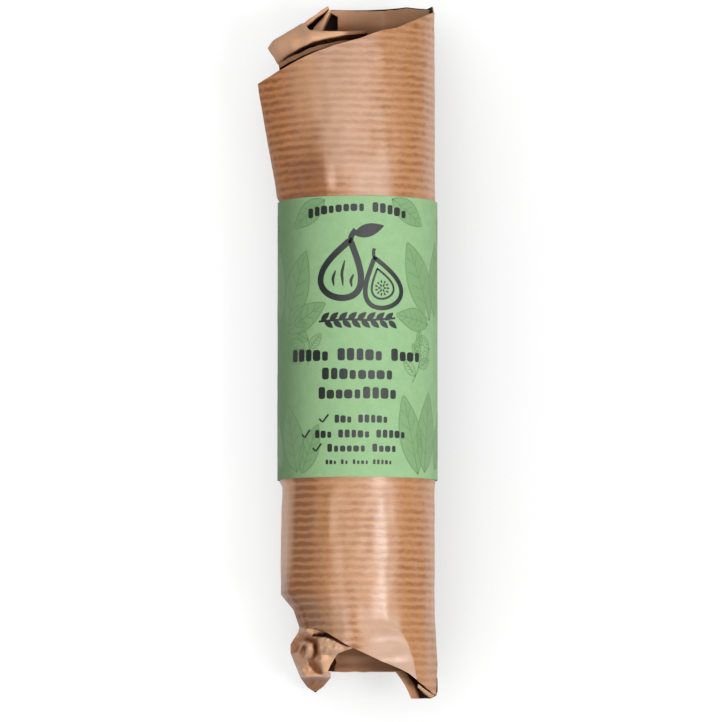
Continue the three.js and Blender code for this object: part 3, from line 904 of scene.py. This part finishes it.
def ink_print():
    """The dark print: a whole and a half fig, a leafy divider, and blocks and ticks for the words."""
    parts = blocks(35.1, -12.6, 12.4, 2.3, [8, 5], 0.12, 1.6)

    def draw(path, width, closed=False, taper=0.0):
        parts.append(stroke(path, width, DARK_INK, closed, taper))

    def leaf(root, tip, wide):
        parts.append(patch(leaf_loop(root, tip, wide), DARK_INK))

    draw(fig_loop(-3.4, 20.4, 10.4, 13.8, -0.25), 1.5, True)
    for u, v, tall in ((-5.6, 18.2, 3.6), (-3.4, 19.4, 6), (-1.3, 17.6, 3)):
        draw([(u, v - tall / 2), (u - 0.3, v), (u + 0.4, v + tall / 2)], 0.7, taper=0.7)
    draw([(-1.7, 26.6), (-1.4, 28.2), (-0.4, 29.6)], 1.3)
    leaf((-0.9, 28.4), (6.4, 30.6), 3)
    for share, width in ((1, 1.1), (0.6, 0.5)):
        draw(fig_loop(5.7, 17.2 - 0.6 * (1 - share), 9.6 * share, 12 * share, 0.28), width, True)
    parts += seeds(5.9, 15.9, 2.2, 2.3, [(6, 0.3), (11, 0.66)], 0.22, DARK_INK)
    draw([(4, 23), (3.7, 24.1), (4, 25.2)], 0.8)

    draw([(-9.4, 8.1), (-3, 8.5), (3, 8.3), (9.2, 8.9)], 0.5)
    for k in range(8):
        root = np.array([-8.8 + 2.2 * k, 8.3])
        leaf(root, root + (2.1, 1.9), 1.3)
        leaf(root + (0.9, 0), root + (3, -1.8), 1.3)

    parts += blocks(0.3, -17.8, 16.8, 2.9, [5, 5, 4], 0.1)
    parts += blocks(-4.15, -8.8, 8.8, 2.8, [8], 0.1)
    parts += blocks(-8.7, -9.7, 9.7, 2.8, [9], 0.1)
    for v, left, right, words in ((-14.8, -8.2, 7.4, [3, 5]), (-18.3, -13.2, 12, [3, 5, 5]),
                                  (-21.6, -10, 9.6, [6, 4])):
        parts.append(tick(left, v, 2.1))
        parts += blocks(v, left + 2.6, right, 1.9, words, 0.15)
    return parts + blocks(-24.9, -7.8, 8.4, 1.1, [3, 2, 4, 5], 0.3)


# Materials

def colour(red, green, blue):
    """Linear colour from 0 to 255 display values."""
    def linear(value):
        value /= 255
        return value / 12.92 if value <= 0.04045 else ((value + 0.055) / 1.055) ** 2.4
    return linear(red), linear(green), linear(blue), 1.0


class Nodes:
    """Short calls for a material's nodes; most return the output socket of the last node added."""

    def __init__(self, name):
        self.material = bpy.data.materials.new(name)
        self.material.use_nodes = True
        self.tree = self.material.node_tree

    def plug(self, socket, value):
        if isinstance(value, bpy.types.NodeSocket):
            self.tree.links.new(value, socket)
        else:
            socket.default_value = value

    def join(self, node, inputs, output):
        """Fill a node's inputs, by name or in order, and return one of its outputs."""
        for key, value in inputs.items() if isinstance(inputs, dict) else enumerate(inputs):
            self.plug(node.inputs[key], value)
        return node.outputs[output]

    def add(self, kind, inputs, output=0):
        return self.join(self.tree.nodes.new("ShaderNode" + kind), inputs, output)

    def math(self, operation, *values, clamp=False):
        node = self.tree.nodes.new("ShaderNodeMath")
        node.operation = operation
        node.use_clamp = clamp
        return self.join(node, values, 0)

    def chain(self, operation, first, *others):
        for other in others:
            first = self.math(operation, first, other)
        return first

    def product(self, *values):
        return self.chain("MULTIPLY", *values)

    def total(self, *values):
        return self.chain("ADD", *values)

    def most(self, *values):
        return self.chain("MAXIMUM", *values)

    def mix(self, factor, first, second):
        node = self.tree.nodes.new("ShaderNodeMix")
        node.data_type = "RGBA"
        return self.join(node, {"Factor": factor, "A": first, "B": second}, "Result")

    def ramp(self, value, low, high, start=0.0, end=1.0):
        """From start to end, smoothly, as the value goes from low to high."""
        node = self.tree.nodes.new("ShaderNodeMapRange")
        node.interpolation_type = "SMOOTHSTEP"
        return self.join(node, (value, low, high, start, end), "Result")

    def window(self, value, low, full, fade, high):
        """1 while the value is from full to fade, and smoothly down to 0 at low and at high."""
        return self.product(self.ramp(value, low, full), self.ramp(value, high, fade))

    def paper(self):
        """The place on the flat paper and the side that shows, as one vector."""
        node = self.tree.nodes.new("ShaderNodeAttribute")
        node.attribute_name = "paper"
        return node.outputs["Vector"]

    def split(self, vector):
        node = self.tree.nodes.new("ShaderNodeSeparateXYZ")
        self.plug(node.inputs[0], vector)
        return node.outputs

    def noise(self, place, scale, detail=2.0, roughness=0.5):
        inputs = {"Vector": place, "Scale": scale, "Detail": detail, "Roughness": roughness}
        return self.add("TexNoise", inputs, "Fac")

    def bump(self, height, strength, distance, **under):
        """Relief of a distance in millimetres; under may give the Normal that it lies on."""
        inputs = {"Height": height, "Strength": strength, "Distance": distance * MM, **under}
        return self.add("Bump", inputs, "Normal")

    def finish(self, **inputs):
        shader = self.tree.nodes["Principled BSDF"]
        for name, value in inputs.items():
            self.plug(shader.inputs[name.replace("_", " ")], value)
        return self.material


def kraft_material():
    """Ribbed kraft paper: darker ribs that come and go, fibres, a soft gloss, painted sheen, light and shade,
    and an inside in painted shade.
    """
    n = Nodes("ribbed_kraft")
    place = n.paper()
    u, v, side = n.split(place)

    def uneven(scale_u, scale_v, *detail):
        stretched = n.add("CombineXYZ", (n.product(u, scale_u), n.product(v, scale_v), side))
        return n.noise(stretched, 1.0, *detail)

    # Ribs across the paper, which waver and are flattened where it is rubbed
    outside = n.ramp(side, 0.3, 0.9, 1.0, 0.0)
    facet = n.product(n.window(u, -1, 3, 9.5, 12), n.ramp(v, -56, -62.5), 0.75)
    rubbed = n.product(n.most(n.ramp(side, 0.02, RUBBED_SIDE), facet), outside)
    line = n.total(n.math("DIVIDE", v, RIB_PITCH), n.product(uneven(0.05, 0.15), 0.4),
                   n.product(uneven(0.4, 0.4, 3.0), n.ramp(v, 60, 76, 0.5, 0.9)))
    ribs = n.ramp(n.math("COSINE", n.product(line, math.tau)), -1.0, 0.9)
    ribs = n.product(ribs, outside, n.math("MULTIPLY_ADD", rubbed, -0.85, 1.0))

    # Tone from 0, pale, to 1, dark
    patchy = n.ramp(uneven(0.3, 0.45, 3.0), 0.3, 0.68, 0.45, 1.0)
    region = n.ramp(uneven(0.07, 0.05), 0.35, 0.65, 0.55, 1.0)
    # Painted shade: a darker band of tone down the lower left flank
    left_shade = n.product(n.window(u, -23, -19, -14, -9), n.ramp(v, -20, -32), 0.5)
    fleck = n.noise(place, 1.3, 3.0, 0.6)
    tone = n.total(n.product(ribs, patchy, region), n.product(n.total(ribs, 0.2), left_shade),
                   n.product(uneven(0.7, 2.2, 4.0, 0.6), 0.5), n.product(fleck, 0.6))
    tone = n.math("ADD", tone, -0.43, clamp=True)
    surface = n.mix(tone, colour(177, 129, 90), colour(140, 91, 56))

    # Painted sheen: a pale colour along the crests where the highlights fall, and over the pressed, rubbed
    # paper
    low_crest = n.product(n.window(u, 2.5, 6, 8, 12), n.ramp(v, -28, -32))
    top_crest = n.product(n.window(u, -11, -6, 2, 6), n.ramp(v, 38, 46))
    left_crest = n.product(n.window(u, -9.5, -6.5, -4, -1), n.ramp(v, -54, -60))
    near_band = n.product(n.window(u, -3, 1, 7, 10), n.window(v, 30, 36, 44, 51), 0.5)
    sheen_and_rubbing = n.most(n.product(n.most(low_crest, top_crest, left_crest), 0.32), near_band,
                  n.product(rubbed, 0.8))
    surface = n.mix(sheen_and_rubbing, surface, colour(189, 159, 141))

    # Painted shade in a long darker band along the right flank, painted light on the pale edges, and a warmer
    # orange painted on the left flank
    # Painted shade: darker paper along the right flank
    right_shade = n.product(n.window(u, 10, 14, 18, 20.5), 0.6,
                           n.math("SUBTRACT", outside, rubbed, clamp=True))
    surface = n.mix(right_shade, surface, n.mix(tone, colour(170, 120, 74), colour(136, 86, 48)))
    # Painted light: paler paper along the lower left edge, in a patch on the upper left flank and along the
    # right edge at the tail
    low_edge = n.product(n.ramp(u, -17, -20, 0.0, 0.65), n.window(v, -58, -52, -30, -20))
    top_edge = n.product(n.window(u, -16, -12, -9, -6), n.ramp(v, 50, 60, 0.0, 0.35))
    right_edge = n.product(n.ramp(u, 20, 24), n.ramp(v, -66, -60, 0.0, 0.2))
    edge_light = n.product(n.most(low_edge, top_edge, right_edge), outside)
    surface = n.mix(edge_light, surface, colour(222, 172, 138))
    # Painted light: a warmer orange on the left flank, lighter in its upper part, in place of light it lacks
    warm_top = n.product(n.ramp(u, -9, -16, 0.0, 0.6), n.ramp(v, 30, 36))
    warm_tail = n.product(n.ramp(u, -8, -14, 0.0, 0.6), n.ramp(v, -46, -55))
    low_band = n.product(n.window(u, -19, -16, -13, -10), n.ramp(v, -20, -30), 0.35)
    warm = n.product(n.most(n.total(warm_top, warm_tail), low_band), outside)
    upper = n.ramp(v, -20, 20)
    surface = n.mix(warm, surface, n.mix(
        tone, n.mix(upper, colour(172, 112, 66), colour(208, 136, 82)),
        n.mix(upper, colour(122, 72, 37), colour(156, 92, 48))))

    # Painted light and shade: a pale painted highlight on the folds, painted shade in the dent beside the
    # band, and painted shade on the paper's inside
    surface = n.mix(n.ramp(side, 0.5, 0.8, 0.0, 0.5), surface, colour(220, 176, 144))
    # Painted shade in the dent beside the band, to the left of its crease
    dent = n.product(n.ramp(u, -6.8, -7.8), n.ramp(u, -21, -14, 0.3, 1.0), n.window(v, 35, 37, 45, 51),
                     outside, 0.72)
    surface = n.mix(dent, surface, n.mix(tone, colour(148, 93, 55), colour(112, 66, 35)))
    # Painted shade on the inside, and deeper painted shade past 1
    surface = n.mix(n.ramp(side, 0.92, 1.0), surface, colour(116, 66, 34))
    surface = n.mix(n.ramp(side, 1.0, DEEP_SHADE_SIDE), surface, colour(50, 28, 15))

    normal = n.bump(n.product(ribs, -1.0), 0.5, 0.05)
    normal = n.bump(n.noise(place, 3.0, 4.0, 0.7), 0.25, 0.05, Normal=normal)
    rim = n.product(n.ramp(u, -20, -25), n.ramp(v, 10, -30, 0.0, 0.8), n.ramp(v, -60, -54))
    crown = n.product(n.window(u, -7, -2, 3, 6), -0.25)
    gloss = n.product(n.total(rim, crown, n.ramp(u, -20, -11, -0.06, 0.58)),
                      n.math("MULTIPLY_ADD", rubbed, -0.35, 1.0))
    return n.finish(Base_Color=surface, Roughness=n.ramp(fleck, 0.3, 0.7, 0.46, 0.39), Normal=normal,
                    Specular_IOR_Level=n.math("MULTIPLY_ADD", gloss, outside, 0.12))


def green_material():
    """Uncoated coloured paper with a faint mottle and tooth, and painted shade down its left side."""
    n = Nodes("green_label_paper")
    place = n.paper()
    u = n.split(place)[0]
    mottle = n.noise(place, 0.35, 4.0, 0.6)
    fibre = n.noise(place, 2.6, 4.0, 0.65)
    tone = n.product(n.total(mottle, fibre), 0.5)
    surface = n.mix(n.ramp(tone, 0.38, 0.62), colour(138, 171, 127), colour(130, 164, 120))
    # Painted shade: darker green down the left side
    surface = n.mix(n.product(n.window(u, -50, -34, -24, -7), 0.6), surface, colour(98, 130, 88))
    return n.finish(Base_Color=surface, Roughness=n.ramp(mottle, 0.3, 0.7, 0.66, 0.74),
                    Normal=n.bump(fibre, 0.2, 0.04), Specular_IOR_Level=0.12)


def ink_material(name, light, dark, roughness):
    """Printing ink, slightly uneven where the paper's tooth shows through."""
    n = Nodes(name)
    speck = n.noise(n.paper(), 3.2, 4.0, 0.7)
    surface = n.mix(n.ramp(speck, 0.4, 0.7), dark, light)
    return n.finish(Base_Color=surface, Roughness=n.ramp(speck, 0.3, 0.7, roughness, roughness + 0.1),
                    Normal=n.bump(speck, 0.15, 0.03))


# Stage, lights and camera

VIEW_DISTANCE = 1282.5
VIEW_TILT = math.radians(4)
VIEW_X = 0.83
VIEW_Z = 19
LENS = 269.25
KEY_TURN = math.radians(30)
FLOOR_HALF = 3.0
SHADE_REACH = 0.075
SHADE_LEAN = (-0.3, 0.1, 0.9)
WHITE = (1, 1, 1, 1)


def add_camera():
    """A camera over the roll, tilted a little towards its tail."""
    data = bpy.data.cameras.new("camera")
    data.lens = LENS
    data.sensor_width = 36
    data.clip_start = 0.05
    data.clip_end = 20
    camera = add_object("camera", data)
    sine, cosine = math.sin(VIEW_TILT), math.cos(VIEW_TILT)
    eye = to_frame((VIEW_X, -VIEW_DISTANCE * sine, VIEW_Z + VIEW_DISTANCE * cosine))
    turn = Matrix(((1, 0, 0), (0, cosine, -sine), (0, sine, cosine)))
    camera.matrix_world = Matrix.Translation(eye) @ turn.to_4x4()
    bpy.context.scene.camera = camera


def add_area_light(name, direction, distance, size, power):
    """A soft box that faces the roll's middle from a direction in the part's frame."""
    data = bpy.data.lights.new(name, "AREA")
    data.shape = "RECTANGLE"
    data.size, data.size_y = size
    data.energy = power
    light = add_object(name, data)
    toward = Vector(direction).normalized()
    light.location = Vector(to_frame((0, 0, VIEW_Z))) + toward * distance
    light.rotation_euler = toward.to_track_quat("Z", "Y").to_euler()


def add_stage():
    """A pale floor whose own glow fades close to the roll, under a faint white room."""
    n = Nodes("pale_floor")
    cloud = n.noise(n.add("TexCoord", (), "Object"), 3.0)
    lean = n.add("CombineXYZ", SHADE_LEAN)
    near = n.add("AmbientOcclusion", {"Distance": SHADE_REACH, "Normal": lean}, "AO")
    material = n.finish(Base_Color=n.mix(cloud, (0.11, 0.11, 0.11, 1), (0.13, 0.13, 0.13, 1)), Roughness=0.9,
                        Emission_Color=WHITE, Emission_Strength=n.ramp(near, 0.3, 0.96, 0.6, 0.86))
    mesh = bpy.data.meshes.new("floor")
    corners = [(x * FLOOR_HALF, y * FLOOR_HALF, 0) for x, y in ((-1, -1), (1, -1), (1, 1), (-1, 1))]
    mesh.from_pydata(corners, [], [(0, 1, 2, 3)])
    mesh.materials.append(material)
    add_object("floor", mesh)
    world = bpy.data.worlds.new("soft_room")
    world.use_nodes = True
    background = world.node_tree.nodes["Background"]
    background.inputs["Color"].default_value = WHITE
    background.inputs["Strength"].default_value = 0.02
    bpy.context.scene.world = world
    bpy.context.scene.view_settings.view_transform = "Standard"
    bpy.context.scene.cycles.use_denoising = True


add_camera()
add_stage()
add_area_light("key", (math.sin(KEY_TURN), -0.18, math.cos(KEY_TURN)), 1.0, (0.3, 0.25), 7.9)
add_area_light("overhead", (-0.03, 0, 1), 1.1, (1.0, 1.0), 11.4)

kraft = kraft_material()
laps = [back_lap(TAIL_SLANT_Y, BAND_START - 0.6), back_lap(BAND_END + 0.6, MOUTH_SLANT_Y)]
ends = [crumpled_end(MOUTH_FLOOR_Y, -3, 5), crumpled_end(TAIL_FLOOR_Y, 3, 6)]
make_piece("kraft_outer_turn", [outer_turn()], kraft, "paper_wrap")
make_piece("kraft_back_lap", laps, kraft)
make_piece("kraft_mouth_folds", mouth_folds(), kraft)
make_piece("kraft_tail_folds", tail_folds(), kraft)
make_piece("kraft_rosette", [rosette()], kraft)
make_piece("kraft_crumpled_ends", ends, kraft)
make_piece("green_label_sleeve", [band_sleeve()], green_material(), "label_band")
leaf_ink = ink_material("leaf_green_ink", colour(106, 142, 95), colour(96, 132, 86), 0.55)
dark_ink = ink_material("dark_ink", colour(30, 38, 35), colour(16, 22, 22), 0.5)
soft_ink = ink_material("soft_green_ink", colour(118, 153, 107), colour(110, 145, 99), 0.6)
make_piece("label_broad_leaves", broad_leaves(), soft_ink)
make_piece("label_sprigs", background_print(), leaf_ink)
make_piece("label_emblem_and_lines", ink_print(), dark_ink)
